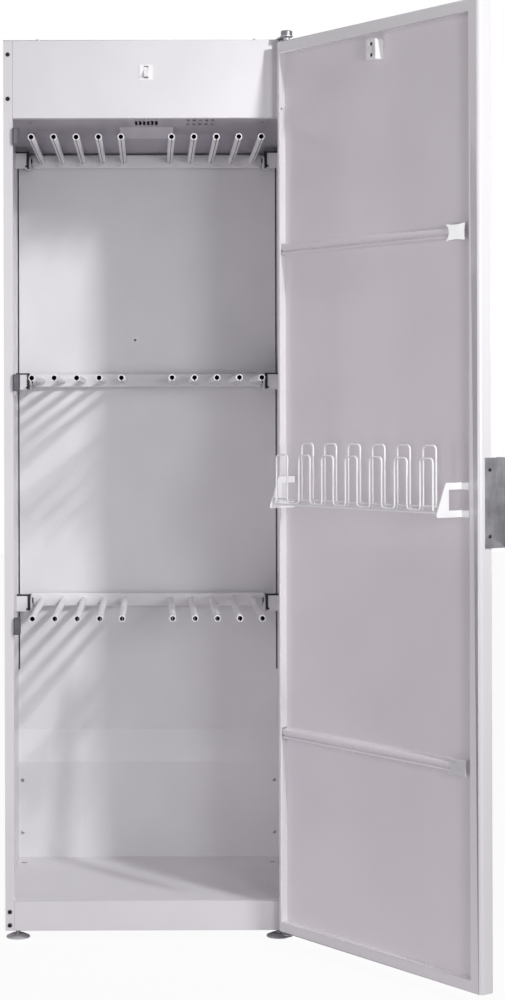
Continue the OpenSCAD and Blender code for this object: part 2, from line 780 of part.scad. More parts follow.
function pipe_places() = [for (side = [-1, 1], i = [0 : pipes_half - 1])
    side * (first_pipe_x + i * pipe_pitch)];

module rack_bar(z) color(rack_colour) translate([0, 0, z]) {
    difference() {
        along_x(-end_inner, end_inner) bar_outline();
        // Air hole beside each pipe
        for (x = pipe_places()) translate([x + sign(x) * 13, bar_front_y - 1, -bar_h / 2 + 6])
            rotate([-90, 0, 0]) cylinder(d = 3.5, h = 4);
        // The bar's lower corners are cut off beside the end plates
        both_sides() along_y(bar_front_y - 1, bar_back_y + 1)
            polygon([[end_inner - corner_cut, -bar_h / 2 - 1], [end_inner + 1, -bar_h / 2 - 1], [end_inner + 1, 0]]);
    }
    both_sides() {
        along_x(end_inner, rack_half) end_plate_outline();
        // Rivet of the end plate's tab
        translate([end_inner - 6, bar_front_y, bar_h / 2 - 7]) rotate([90, 0, 0]) cylinder(d = rivet_d, h = 1.2);
    }
}

// Rolled tubes with an open seam underneath
module rack_pipes(z) color(rack_colour) for (x = pipe_places())
    translate([x, 0, z]) along_y(-pipe_reach, bar_front_y) difference() {
        circle(d = pipe_d);
        circle(d = pipe_bore);
        translate([-seam_w / 2, -pipe_d]) square([seam_w, pipe_d]);
    }

module upper_rack_brackets() rack_brackets(rack_z[0]);
module upper_rack_pivots() rack_pivots(rack_z[0]);
module upper_rack_bar() rack_bar(rack_z[0]);
module upper_rack_pipes() rack_pipes(rack_z[0]);
module middle_rack_brackets() rack_brackets(rack_z[1]);
module middle_rack_pivots() rack_pivots(rack_z[1]);
module middle_rack_bar() rack_bar(rack_z[1]);
module middle_rack_pipes() rack_pipes(rack_z[1]);
module lower_rack_brackets() rack_brackets(rack_z[2]);
module lower_rack_pivots() rack_pivots(rack_z[2]);
module lower_rack_bar() rack_bar(rack_z[2]);
module lower_rack_pipes() rack_pipes(rack_z[2]);

// ---- door ----

// Turns the closed door open; its children are drawn as (s, n, z)
module on_door() {
    translate([hinge_x, hinge_y, 0]) rotate([0, 0, door_open]) translate([-hinge_x, -hinge_y, 0])
        translate([half_w, -door_gap, 0]) mirror([1, 0, 0]) children();
}

module bush_places() {
    for (z = [door_low_z, door_top_z]) translate([hinge_inset, -hinge_depth, z]) children();
}

// The door's cross-section, with the latch edge rounded towards the cabinet
module door_section(inset) difference() {
    translate([inset, skin_n + inset]) square([body_w - 2 * inset, door_t - 2 * inset]);
    difference() {
        translate([body_w - latch_r, -latch_r]) square(latch_r + 1);
        translate([body_w - latch_r, -latch_r]) circle(latch_r - inset);
    }
}

notch_h = 23;
module door_shell() {
    door_skin();
    door_lip();
}

module door_skin() color(shell_colour) on_door() difference() {
    translate([0, 0, door_low_z]) linear_extrude(door_h) door_section(0);
    translate([0, 0, door_low_z + sheet]) linear_extrude(door_h - 2 * sheet) door_section(sheet);
    box([hinge_rim_w, -2 * sheet, door_low_z + rim_w], [latch_edge, eps, door_top_z - top_rim_w]);
    bush_places() translate([0, 0, -2]) cylinder(d = bush_bore_d, h = 4);
}

// Lip folded down from the rim to the inner panel
module door_lip() color(shell_colour) on_door() difference() {
    box([hinge_rim_w - sheet, panel_n, door_low_z + rim_w - sheet],
        [latch_edge + sheet, -sheet / 2, door_top_z - top_rim_w + sheet]);
    box([hinge_rim_w, panel_n - 1, door_low_z + rim_w], [latch_edge, 1, door_top_z - top_rim_w]);
    for (z = rails_z)
        box([0, panel_n - 1, z - notch_h / 2], [hinge_rim_w + 1, rail_top_n, z + notch_h / 2]);
    translate([hinge_rim_w - 2, -7, lip_hole_z]) rotate([0, 90, 0]) cylinder(d = 5, h = 4);
}
lip_hole_z = door_top_z - 139;

bush_bore_d = 2 * (hinge_inset - sheet) - 0.2;
module door_inner_panel() color(shell_colour) on_door()
    box([sheet, panel_n - sheet, door_low_z + rim_w - panel_lap],
        [latch_edge + panel_lap, panel_n, door_top_z - top_rim_w + panel_lap]);

rail_end_s = clip_end - 16;
module rail(z) color(shell_colour) on_door()
    translate([0, 0, z]) along_x(hinge_rim_w + 1, rail_end_s) difference() {
        polygon([[panel_n, -rail_half], [panel_n, rail_half], [panel_n + 1, rail_half],
                 [panel_n + 1, rail_half - 3.5], [rail_top_n - 1.5, 8], [rail_top_n, 6.5],
                 [rail_top_n, -6.5], [rail_top_n - 1.5, -8], [panel_n + 1, -rail_half + 3.5],
                 [panel_n + 1, -rail_half]]);
        polygon([[panel_n - 1, -rail_half + 4.5], [panel_n - 1, rail_half - 4.5],
                 [rail_top_n - 2, 6.5], [rail_top_n - 1, 5.5], [rail_top_n - 1, -5.5],
                 [rail_top_n - 2, -6.5]]);
    }

module upper_rail() rail(upper_rail_z);
module lower_rail() rail(lower_rail_z);

// Flattened saddle plates over the rails' latch ends
module rail_end_plates() color(shell_colour) on_door() for (z = rails_z)
    translate([0, 0, z]) along_y(rail_top_n, rail_top_n + 1.2) difference() {
        translate([clip_end - clip_w, -rail_half - 1]) square([clip_w, 2 * rail_half + 2]);
        translate([clip_end - clip_w - 8, 0]) circle(18);
        translate([clip_end + 56, 0]) circle(59, $fn = 96);
        for (side = [-1, 1]) translate([clip_end - clip_w / 2, side * (rail_half + 118)]) circle(119, $fn = 160);
    }

module hinge_bushes() color(steel_colour) on_door() for (end = [0, 1])
    translate([hinge_inset, -hinge_depth, end == 0 ? door_low_z : door_top_z]) mirror([0, 0, end])
        difference() {
            union() {
                cylinder(d = bush_bore_d, h = bush_l);
                if (end == 1) translate([0, 0, run_gap - door_top_gap])
                    cylinder(d = 2 * hinge_inset, h = door_top_gap - run_gap);
            }
            translate([0, 0, -door_top_gap]) cylinder(r = hinge_pin_d / 2 + pin_gap, h = pin_l + door_top_gap + 1);
        }

module strike_block() color(shell_colour) on_door()
    translate([strike_s - strike_w / 2, 0, strike_z - strike_h / 2]) difference() {
        along_y(panel_n, strike_top_n) round_rect(strike_w, strike_h, 4);
        strike_screw_places() {
            translate([0, 0, -strike_top_n + panel_n - 1]) cylinder(d = 4, h = 40);
            translate([0, 0, -4]) cylinder(d1 = 4, d2 = 10, h = 4 + eps);
        }
    }

module strike_screw_places() {
    for (z = [strike_h / 2 - strike_hole_gap / 2, strike_h / 2 + strike_hole_gap / 2])
        translate([strike_w / 2, strike_top_n, z]) rotate([-90, 0, 0]) children();
}

module strike_screws() color(dark_colour) on_door()
    translate([strike_s - strike_w / 2, 0, strike_z - strike_h / 2])
        strike_screw_places() translate([0, 0, -3.5]) difference() {
            union() {
                cylinder(d1 = 4.6, d2 = 7, h = 2);
                translate([0, 0, -14]) cylinder(d = 4, h = 14 + eps);
            }
            for (turn = [0, 90]) rotate([0, 0, turn]) translate([-1.8, -0.4, 1]) cube([3.6, 0.8, 2]);
        }

handle_fold_r = 5;
module handle_outline() {
    // Flange on the door's latch edge, curled back in front of the door
    edge = body_w;
    difference() {
        translate([edge + handle_t - handle_curl, handle_end_n])
            round_rect(handle_curl, handle_start_n - handle_end_n + 10, handle_fold_r);
        translate([edge - handle_curl - 1, handle_end_n + handle_t])
            square([handle_curl + 1 - handle_fold_r + handle_t, handle_start_n - handle_end_n + 20]);
        translate([edge - handle_curl - 1, handle_end_n + handle_t + 3])
            square([handle_curl + 1, handle_start_n - handle_end_n + 20]);
        translate([edge - handle_fold_r + handle_t, handle_end_n + handle_fold_r]) circle(handle_fold_r - handle_t);
        translate([edge - handle_curl, handle_start_n]) square([handle_curl + 10, 30]);
    }
    translate([edge + handle_t - handle_curl + handle_t / 2, handle_end_n + 3])
        difference() {
            circle(3);
            circle(1.2);
        }
}

module handle_screw_places() {
    for (side = [-1, 1])
        translate([body_w + handle_t, -23, handle_mid_z + side * handle_screw_gap / 2])
            rotate([0, 90, 0]) children();
}

module handle() color(steel_colour) on_door() difference() {
    translate([0, 0, handle_mid_z - handle_h / 2]) linear_extrude(handle_h) handle_outline();
    handle_screw_places() translate([0, 0, -handle_t - 1]) cylinder(d = 4, h = handle_t + 2);
}

module handle_screws() color(dark_colour) on_door() handle_screw_places()
    screw(7, 2, 4, handle_t);

// ---- glove rack on the door ----

// Side plate in n and z: a slanted arm with two legs that reach the rim
module arm_outline() {
    tip_r = 4;
    difference() {
        union() {
            polygon([[-arm_t, glove_z], [glove_reach - tip_r, glove_z], [glove_reach, glove_z + tip_r + 1],
                     [arm_head_n, glove_z + glove_bracket_h], [-arm_t, glove_z + glove_bracket_h]]);
            translate([glove_reach - tip_r, glove_z + tip_r]) circle(tip_r);
        }
        translate([-10, glove_z + arm_h]) square([arm_window_n + 10, glove_bracket_h - 2 * arm_h]);
    }
}

// Legs folded outwards along the rim to the recess walls
module arm_tab(s_low, s_high) {
    for (z = [glove_z, glove_z + glove_bracket_h - arm_h])
        box([s_low, -arm_t, z], [s_high, 0, z + arm_h]);
}

module glove_rack_arms() color(rack_colour) on_door() {
    along_x(arm_s, arm_s + arm_t) arm_outline();
    arm_tab(hinge_rim_w, arm_s + eps);
    along_x(body_w - arm_s - arm_t, body_w - arm_s) arm_outline();
    arm_tab(body_w - arm_s - eps, latch_edge);
}

// A quarter bend of wire in the s-z plane, centred on its bend
module wire_bend(turn) {
    rotate([90, 0, 0]) rotate([0, 0, turn]) rotate_extrude(angle = 90, $fn = 32)
        translate([loop_r, 0]) circle(d = wire_d, $fn = 16);
}

module wire(from, to) {
    run = to - from;
    length = norm(run);
    translate(from) rotate([0, acos(run[2] / length), atan2(run[1], run[0])])
        cylinder(d = wire_d, h = length, $fn = 16);
}

// One wire bent into upright loops, joined at their feet
module loop_row(n, first, count, high) {
    for (i = [0 : count - 1]) {
        s = loops_s + (first + i) * loop_pitch;
        low = loops_z;
        top = loops_z + high;
        wire([s, n, low + (first + i > 0 ? loop_r : 0)], [s, n, top - loop_r]);
        wire([s + loop_r, n, top], [s + loop_w - loop_r, n, top]);
        wire([s + loop_w, n, low + (i < count - 1 ? loop_r : 0)], [s + loop_w, n, top - loop_r]);
        translate([s + loop_r, n, top - loop_r]) wire_bend(90);
        translate([s + loop_w - loop_r, n, top - loop_r]) wire_bend(0);
        if (i < count - 1) {
            translate([s + loop_w + loop_r, n, low + loop_r]) wire_bend(180);
            translate([s + loop_pitch - loop_r, n, low + loop_r]) wire_bend(270);
            wire([s + loop_w + loop_r, n, low], [s + loop_pitch - loop_r, n, low]);
        }
    }
}

module glove_rack_front_loops() color(rack_colour) on_door() loop_row(front_n, 0, loops, short_loop_h);

module glove_rack_back_loops() color(rack_colour) on_door() loop_row(back_n, 1, loops - 1, tall_loop_h);

// Straight rods between the arms: one between the two rows, one under them
module glove_rack_rods() color(rack_colour) on_door() {
    for (at = [[loops_mid_n, loops_z + 7], [loops_mid_n + 2, loops_z - 4.4]])
        translate([arm_s + arm_t, at[0], at[1]]) rotate([0, 90, 0])
            cylinder(d = wire_d, h = body_w - 2 * arm_s - 2 * arm_t, $fn = 16);
}

left_side_panel();
right_side_panel();
top_panel();
back_panel();
base_panel();
header_panel();
plinth_panel();
floor_panel();
back_liner();
ceiling_panel();
service_panel();
air_deflector();
stile_screws();
panel_screws();
top_screws();
exhaust_collar();
foot_pads();
foot_studs();
top_hinge_bracket();
lower_hinge_bracket();
top_hinge_pin();
lower_hinge_pin();
magnet_housings();
magnet_plates();
switch_body();
switch_lever();
fan_housing();
fan_motor();
fan_wheel();
fan_shaft();
heater_frame();
heater_rods();
terminal_box();
cable_gland();
upper_rack_brackets();
upper_rack_pivots();
upper_rack_bar();
upper_rack_pipes();
middle_rack_brackets();
middle_rack_pivots();
middle_rack_bar();
middle_rack_pipes();
lower_rack_brackets();
lower_rack_pivots();
lower_rack_bar();
lower_rack_pipes();
door_shell();
door_inner_panel();
upper_rail();
lower_rail();
rail_end_plates();
hinge_bushes();
strike_block();
strike_screws();
handle();
handle_screws();
glove_rack_arms();
glove_rack_front_loops();
glove_rack_back_loops();
glove_rack_rods();
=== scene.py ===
# %% [markdown]
# # A drying cabinet with its door open
#
# The real thing is a tall cupboard folded from sheet steel and powder coated. Wet clothes hang on
# three racks of open pipes, and in this model a fan and a heater above the ceiling blow warm air
# down behind the back liner. This lesson dresses an engineering model of it: every piece arrives
# at its size and place, and what is left to do is what the eye reads as real, namely edges that
# are rounded by the press brake, the skin of the coating, brushed and zinc-plated metal, and a
# believable light.
#
# First the model is loaded. Its size is kept, because nothing added later may grow out of it.

# %% Load the model
import json
import math

import bmesh
import bpy
import numpy as np
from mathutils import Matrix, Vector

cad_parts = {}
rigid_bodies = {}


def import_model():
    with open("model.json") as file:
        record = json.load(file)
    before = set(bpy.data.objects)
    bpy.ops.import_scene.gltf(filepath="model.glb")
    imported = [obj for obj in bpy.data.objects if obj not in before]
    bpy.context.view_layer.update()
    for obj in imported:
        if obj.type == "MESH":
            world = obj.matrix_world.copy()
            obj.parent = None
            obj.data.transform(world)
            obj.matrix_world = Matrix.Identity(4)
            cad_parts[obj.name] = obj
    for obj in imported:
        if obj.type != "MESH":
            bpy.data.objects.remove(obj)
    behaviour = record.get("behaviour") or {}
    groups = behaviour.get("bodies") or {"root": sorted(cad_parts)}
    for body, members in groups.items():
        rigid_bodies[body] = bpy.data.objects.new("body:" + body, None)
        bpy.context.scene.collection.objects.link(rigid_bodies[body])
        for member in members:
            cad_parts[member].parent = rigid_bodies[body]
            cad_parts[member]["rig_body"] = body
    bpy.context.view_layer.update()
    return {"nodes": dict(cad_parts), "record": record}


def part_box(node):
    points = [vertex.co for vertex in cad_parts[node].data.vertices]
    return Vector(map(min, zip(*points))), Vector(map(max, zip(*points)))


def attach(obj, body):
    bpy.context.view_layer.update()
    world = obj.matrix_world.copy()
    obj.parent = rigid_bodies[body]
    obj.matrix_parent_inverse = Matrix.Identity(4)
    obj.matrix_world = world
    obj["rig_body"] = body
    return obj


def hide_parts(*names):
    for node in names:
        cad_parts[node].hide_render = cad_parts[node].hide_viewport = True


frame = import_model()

nodes = frame["nodes"]
body_of = {n: b for b, names in frame["record"]["behaviour"]["bodies"].items() for n in names}
slot_of = {part["node"]: part["material_slot"] for part in frame["record"]["subparts"]}

# %% [markdown]
# ## Colours and nodes
#
# A colour is easiest to judge as the hex value that a paint chart or a picture gives, but shaders
# work with linear light. One function turns one into the other. A second small function adds any
# shader node with its settings and links, so a material reads as a list of what it is made of.

# %% Colours and shader nodes
def linear(hex_colour):
    """An sRGB hex colour as linear red, green, blue and an alpha of one, by the sRGB formula."""
    part = np.array([int(hex_colour[i:i + 2], 16) / 255 for i in (1, 3, 5)])
    light = np.where(part <= 0.04045, part / 12.92, ((part + 0.055) / 1.055) ** 2.4)
    return (*light.tolist(), 1.0)


def add_node(tree, kind, settings=None, **sockets):
    """Adds a shader node. Settings are its properties.

    Sockets are its inputs by name, or by number after an underscore. Each gets a value or is
    linked to the output socket that is given.
    """
    node = tree.nodes.new("ShaderNode" + kind)
    for name, value in (settings or {}).items():
        setattr(node, name, value)
    for name, value in sockets.items():
        socket = node.inputs[int(name[1:]) if name[0] == "_" else name.replace("_", " ")]
        if isinstance(value, bpy.types.NodeSocket):
            tree.links.new(value, socket)
        else:
            socket.default_value = value
    return node


def new_material(name):
    """An empty node material, its tree and the position on the object that its patterns follow."""
    material = bpy.data.materials.new(name)
    material.use_nodes = True
    tree = material.node_tree
    tree.nodes.clear()
    place = add_node(tree, "TexCoord").outputs["Object"]
    return material, tree, place


print("mid grey #808080 is", round(linear("#808080")[0], 3), "in linear light")

# %% [markdown]
# ## Patterns
#
# Every finish here is made of the same few steps. A noise gives a pattern from 0 to 1. Its middle
# part runs from a deep tone to a pale one, because a noise hardly ever reaches its ends. A
# pattern is also stretched over a small range of roughness, and a fine one tilts the normals.

# %% Patterns
# One millimetre in metres
MM = 0.001


def noise(tree, place, size_mm, detail=2.0, stretch=(1, 1, 1)):
    """Noise whose blobs are about size_mm across, drawn out along an axis by a stretch over one."""
    scale = tuple(1 / (size_mm * MM * s) for s in stretch)
    moved = add_node(tree, "Mapping", Vector=place, Scale=scale).outputs["Vector"]
    return add_node(tree, "TexNoise", Vector=moved, Scale=1.0, Detail=detail).outputs["Fac"]


def tones(tree, pattern, deep, pale, width=0.4):
    """A colour from deep to pale, over a part of the pattern as wide as width, around 0.5."""
    node = add_node(tree, "ValToRGB", Fac=pattern)
    ends = [(0.5 - width / 2, deep), (0.5 + width / 2, pale)]
    for step, (place, colour) in zip(node.color_ramp.elements, ends):
        step.position = place
        step.color = linear(colour)
    return node.outputs["Color"]


def between(tree, pattern, low, high):
    """A pattern that runs from 0 to 1, stretched so that it runs from low to high."""
    return add_node(tree, "MapRange", Value=pattern, To_Min=low, To_Max=high).outputs["Result"]


def bumps(tree, pattern, strength, depth_mm):
    """Normals tilted as if the pattern were a relief depth_mm deep, at a strength from 0 to 1."""
    node = add_node(tree, "Bump", Height=pattern, Strength=strength, Distance=depth_mm * MM)
    return node.outputs["Normal"]


def finish_surface(tree, colour, roughness, normal, **fixed):
    """Closes a material with the main shader. What is fixed is set on the shader's own sockets."""
    shader = add_node(tree, "BsdfPrincipled", Base_Color=colour, Roughness=roughness, Normal=normal)
    for name, value in fixed.items():
        shader.inputs[name.replace("_", " ")].default_value = value
    add_node(tree, "OutputMaterial", Surface=shader.outputs["BSDF"])


print("a noise of 2 mm is scaled by", round(1 / (2 * MM)))

# %% [markdown]
# ## Powder coat
#
# The shell and the racks are steel sheet and tube with a white epoxy-polyester powder coat: dry
# powder melted in an oven. It flows out into an orange peel of shallow waves about 2 mm across,
# and its gloss is a soft satin. The tone drifts a little over a hand's width, because a coat is
# never equally thick. The waves are a bump, as they are only microns high, and the drift is a
# slow noise through a narrow ramp. The liner's sheet is glossier, and its white is a little paler
# than the shell's, which is painted light. The bent wires have a clear coat, and their tone is
# whiter than the racks' as painted light too. The ceiling above the racks and its scoop have
# greyer coats, which are painted shade.

# %% Powder coat
def powder_coat(name, pale, deep, roughness, peel_mm=2.2, peel=0.05, coat=0.0):
    """One slow noise drifts the tone, another the gloss, and a fine one gives the orange peel."""
    material, tree, place = new_material(name)
    colour = tones(tree, noise(tree, place, size_mm=140, detail=3.0), deep, pale)
    rub = noise(tree, place, size_mm=35, detail=4.0)
    shine = between(tree, rub, roughness - 0.04, roughness + 0.05)
    skin = bumps(tree, noise(tree, place, peel_mm, detail=1.0), peel, depth_mm=0.2)
    finish_surface(tree, colour, shine, skin, IOR=1.5, Coat_Weight=coat, Coat_Roughness=0.15)
    return material


SHELL_WHITE = powder_coat("satin_powder_coat", "#E8E6E9", "#E3E1E4", 0.42)
RACK_WHITE = powder_coat("rack_powder_coat", "#F2F1F3", "#ECEBED", 0.33, peel_mm=1.6, peel=0.04)
# Painted light: the wires' white is whiter than the racks' coat, so that they read as brightly lit.
WIRE_WHITE_PAINTED_LIGHT = powder_coat("wire_coat_painted_light", "#FBFBFC", "#F8F8F9", 0.25, peel_mm=1.2, peel=0.03,
                         coat=1.0)
# Painted light: the liner's white is a little paler than the shell's, though it is the same coat.
LINER_WHITE_PAINTED_PALER = powder_coat("liner_coat_painted_paler", "#EFEEF0", "#EAE9EB", 0.3)
# Painted shade: the ceiling, the service panel and the scoop get greyer copies of the white coat.
CEILING_PAINTED_SHADE = powder_coat("ceiling_coat_painted_shade", "#BDB9C1", "#B6B1BA", 0.45)
DEFLECTOR_PAINTED_SHADE = powder_coat("deflector_coat_painted_shade", "#D2CED4", "#CBC7CD", 0.4)
print("each powder coat has", len(SHELL_WHITE.node_tree.nodes), "shader nodes")

# %% [markdown]
# ## Enamel on the door
#
# The door's inner face is glossier than the shell: it mirrors the wire rack as a blurred pale
# shape. A lower roughness and a thin clear coat do that. Its peel is longer and flatter, so that
# the mirrored shapes wobble a little, as they do on baked enamel. The rim is smoother, and its
# clear coat is full but a little blurrier. The panel's white is tinted a little pink-violet like
# the shade on it, which is painted shade, and the rim's copy of the enamel is paler, which is
# painted light.

# %% Door enamel
def baked_enamel(name, pale, deep, roughness, coat, coat_roughness):
    """Powder coat's smoother cousin: a long flat peel, and a clear coat over it."""
    material, tree, place = new_material(name)
    colour = tones(tree, noise(tree, place, size_mm=220), deep, pale)
    rub = noise(tree, place, size_mm=60, detail=3.0)
    shine = between(tree, rub, roughness - 0.03, roughness + 0.04)
    skin = bumps(tree, noise(tree, place, size_mm=5, detail=1.5), strength=0.05, depth_mm=0.25)
    finish_surface(tree, colour, shine, skin, IOR=1.5, Coat_Weight=coat,
                   Coat_Roughness=coat_roughness)
    return material


# Painted shade and light: the panel's enamel is tinted like its shade, and the rim's copy is paler.
DOOR_ENAMEL_SHADE_TINTED = baked_enamel("door_enamel_shade_tinted", "#ECE7EB", "#E8E2E7", 0.3, coat=0.6, coat_roughness=0.08)
RIM_ENAMEL_PAINTED_PALER = baked_enamel("rim_enamel_painted_paler", "#ECEAED", "#E8E6E9", 0.25, coat=1.0, coat_roughness=0.12)
print("each enamel has", len(DOOR_ENAMEL_SHADE_TINTED.node_tree.nodes), "shader nodes")

# %% [markdown]
# ## Metals
#
# Brushed aluminium on the handle: a belt leaves scratches that run up the plate, a few hundredths
# of a millimetre wide and far longer. Drawn at that width they would vanish, so they are drawn
# coarser, 0.6 mm wide and 36 mm long. The other metals use the same pattern with little or no
# stretch: grey zinc on the top screws and hinge brackets, plain turned steel on the hinge pins,
# black oxide on the dark screws, and browned steel on the heater's rods and the fan's housing.
# The bright zinc of the rails' end plates is the exception, as it is streaked sideways.

# %% Metals
SCRATCH_MM = 0.6


def combine(tree, operation, first, second):
    """The result of a math node on two values or sockets."""
    return add_node(tree, "Math", {"operation": operation}, _0=first, _1=second).outputs["Value"]


def brushed_metal(name, pale, deep, roughness, grain):
    """Thin noise, drawn out by the grain, drives the tone, the gloss and a faint bump."""
    material, tree, place = new_material(name)
    scratch = noise(tree, place, SCRATCH_MM, detail=3.0, stretch=grain)
    cloud = noise(tree, place, size_mm=30)
    mean = combine(tree, "MULTIPLY", combine(tree, "ADD", scratch, cloud), 0.5)
    colour = tones(tree, mean, deep, pale, width=0.3)
    shine = between(tree, scratch, roughness - 0.08, roughness + 0.1)
    skin = bumps(tree, scratch, strength=0.12, depth_mm=0.1)
    finish_surface(tree, colour, shine, skin, Metallic=1.0)
    return material


BRUSHED_ALUMINIUM = brushed_metal("brushed_aluminium", "#B3B2B7", "#8A898F", 0.45, (1, 1, 60))
ZINC_PLATE = brushed_metal("zinc_plate", "#B4B5B8", "#9A9BA0", 0.38, (1, 1, 1.5))
BRIGHT_ZINC = brushed_metal("bright_zinc_plate", "#FBFBFC", "#EDEDEF", 0.3, (30, 30, 1))
TURNED_STEEL = brushed_metal("turned_steel", "#86868B", "#65656B", 0.4, (1, 1, 0.5))
BLACK_OXIDE = brushed_metal("black_oxide_steel", "#454548", "#2A2A2D", 0.3, (1, 1, 1))
HEATER_STEEL = brushed_metal("heated_steel", "#6D6762", "#4E4945", 0.5, (1, 1, 1))
print("each metal has", len(ZINC_PLATE.node_tree.nodes), "shader nodes")

# %% [markdown]
# ## Moulded plastics
#
# The switch, the strike block, the foot pads and the dark magnet housings are made as injection
# mouldings. Such a surface takes the spark-eroded grain of its tool, drawn here 0.8 mm coarse,
# and its colour goes through and through, so it hardly varies.

# %% Moulded plastics
GRAIN_MM = 0.8


def moulded(name, pale, deep, roughness):
    """An even colour with the fine grain of a spark-eroded mould."""
    material, tree, place = new_material(name)
    colour = tones(tree, noise(tree, place, size_mm=25, detail=3.0), deep, pale)
    grain = noise(tree, place, GRAIN_MM)
    shine = between(tree, grain, roughness - 0.05, roughness + 0.08)
    skin = bumps(tree, grain, strength=0.12, depth_mm=0.1)
    finish_surface(tree, colour, shine, skin, IOR=1.46)
    return material


WHITE_NYLON = moulded("white_nylon", "#FAFAFB", "#F6F6F7", 0.4)
GREY_NYLON = moulded("grey_nylon", "#66656B", "#55545A", 0.5)
BLACK_NYLON = moulded("black_nylon", "#2B2B2E", "#202023", 0.5)
PALE_PAD = moulded("pale_pad", "#C9C6CA", "#BFBCC1", 0.45)
print("each plastic has", len(WHITE_NYLON.node_tree.nodes), "shader nodes")

# %% [markdown]
# ## Which finish goes where
#
# Each node of the model names a material slot, and each slot has one finish. Some nodes share a
# slot but look different from each other, such as the liner and the shell. They are listed apart.

# %% Finishes of slots and nodes
FINISHES = {
    "shell": SHELL_WHITE, "door": DOOR_ENAMEL_SHADE_TINTED, "rack": RACK_WHITE, "steel": TURNED_STEEL,
    "zinc": ZINC_PLATE, "handle": BRUSHED_ALUMINIUM, "white_plastic": WHITE_NYLON,
    "dark_plastic": BLACK_NYLON, "magnet": GREY_NYLON, "dark_screw": BLACK_OXIDE,
    "heater": HEATER_STEEL,
}

NODE_FINISHES = {
    "back_liner": LINER_WHITE_PAINTED_PALER, "ceiling_panel": CEILING_PAINTED_SHADE, "service_panel": CEILING_PAINTED_SHADE,
    "air_deflector": DEFLECTOR_PAINTED_SHADE, "fan_housing": HEATER_STEEL, "foot_pads": PALE_PAD,
    "door_shell": RIM_ENAMEL_PAINTED_PALER, "rail_end_plates": BRIGHT_ZINC, "stile_screws": BLACK_OXIDE,
    "glove_rack_front_loops": WIRE_WHITE_PAINTED_LIGHT, "glove_rack_back_loops": WIRE_WHITE_PAINTED_LIGHT,
    "glove_rack_rods": WIRE_WHITE_PAINTED_LIGHT, "glove_rack_arms": WIRE_WHITE_PAINTED_LIGHT,
}


def finish_of(name):
    """A node's own finish where it has one, and otherwise that of its slot in the record."""
    return NODE_FINISHES.get(name, FINISHES[slot_of[name]])


for name, node in nodes.items():
    node.data.materials.clear()
    node.data.materials.append(finish_of(name))
print(len(FINISHES), "finishes on slots,", len(NODE_FINISHES), "nodes with one of their own")

# %% [markdown]
# ## Dressed copies of the solids
#
# A solid's shape is never changed. A copy stands in for it: its loose triangles are joined into
# whole faces first, so that a bevel later sees real edges and no diagonals. The door stands open,
# so what is along it and straight out of it isn't along the room's axes.

# %% Copies that stand in
# Direction from the door's hinge to its latch, seen from above: a shut door's is -180 degrees,
# and this one stands open by 125.2
DOOR_ALONG_DEG = -54.8
# Corners closer together than this are one corner
WELD_M = 1e-6
# Faces that meet at less than this are one flat face
FLAT_DEG = 0.4


def own_axes(body):
    """The room's axes as rows, or for the door: along it, out of its inner face, and up."""
    if body != "door":
        return np.eye(3)
    turn = math.radians(DOOR_ALONG_DEG)
    along_x, along_y = math.cos(turn), math.sin(turn)
    return np.array([[along_x, along_y, 0], [along_y, -along_x, 0], [0, 0, 1]])


def merged(node):
    """A copy of a solid's mesh, and a bmesh of it with triangles joined into whole flat faces."""
    mesh = nodes[node].data.copy()
    form = bmesh.new()
    form.from_mesh(mesh)
    bmesh.ops.remove_doubles(form, verts=form.verts, dist=WELD_M)
    bmesh.ops.dissolve_limit(form, angle_limit=math.radians(FLAT_DEG), verts=form.verts,
                             edges=form.edges)
    return mesh, form


def shade_smooth(mesh, sharp_deg=30):
    """Smooth shading but for the edges that turn by more than sharp_deg."""
    mesh.polygons.foreach_set("use_smooth", np.ones(len(mesh.polygons), bool))
    mesh.set_sharp_from_angle(angle=math.radians(sharp_deg))


def stand_in(node, mesh, finishes):
    """Puts a copy in its solid's place, on the same body, with its own materials."""
    piece = bpy.data.objects.new(node + "_dressed", mesh)
    bpy.context.scene.collection.objects.link(piece)
    mesh.materials.clear()
    for finish in finishes:
        mesh.materials.append(finish)
    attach(piece, body_of[node])
    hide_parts(node)
    return piece


print("outwards from the open door's inner face is", own_axes("door")[1].round(3))

# %% [markdown]
# ## Rounded edges
#
# No folded or moulded edge is razor sharp, and the thin highlight along it is what makes a sheet
# look like steel. The engineering solids have sharp folds. So seven pieces are copied, the side,
# top, header, plinth and floor panels and the door's shell, and a bevel rounds the outside of
# their folds by a millimetre or two. That radius is larger than the sheet is thick, so only edges
# on the outside of a piece may be rounded, or the bevel would cut through the sheet. The door's
# latch corner is the exception: it is rounded much more, and there the inside follows.

# %% Rounded panels
# An edge turns by more than this to be rounded
FOLD_DEG = 40
# An edge is on a side of the box when it is closer to it than this
ON_BOX_M = 2e-5
# The latch corner's edges are longer than the first, and within the second of the corner
UPRIGHT_M = 1.0
LATCH_CORNER_MM = 1.6


def weigh_edges(form, body, radius_mm, long_mm, outer_only, latch_mm):
    """Gives each edge that is to be rounded its share of the widest radius, and the others none."""
    widest = max(radius_mm, latch_mm)
    weight = form.edges.layers.float.new("bevel_weight_edge")
    axes = own_axes(body)
    corners = np.array([v.co for v in form.verts]) @ axes.T
    low, high = corners.min(0), corners.max(0)
    for edge in form.edges:
        a, b = edge.verts[0].co, edge.verts[1].co
        mid = axes @ np.array((a + b) / 2)
        folded = edge.calc_face_angle(0.0) > math.radians(FOLD_DEG)
        picked = folded and (a - b).length > long_mm * MM
        if picked and outer_only:
            sides = (np.minimum(mid - low, high - mid) < ON_BOX_M).sum()
            picked = sides >= 2 or (body == "door" and high[1] - mid[1] < ON_BOX_M)
        edge[weight] = radius_mm / widest if picked else 0.0
        at_latch = max(high[0] - mid[0], high[1] - mid[1]) < LATCH_CORNER_MM * MM
        if latch_mm and at_latch and abs(a.z - b.z) > UPRIGHT_M:
            edge[weight] = 1.0


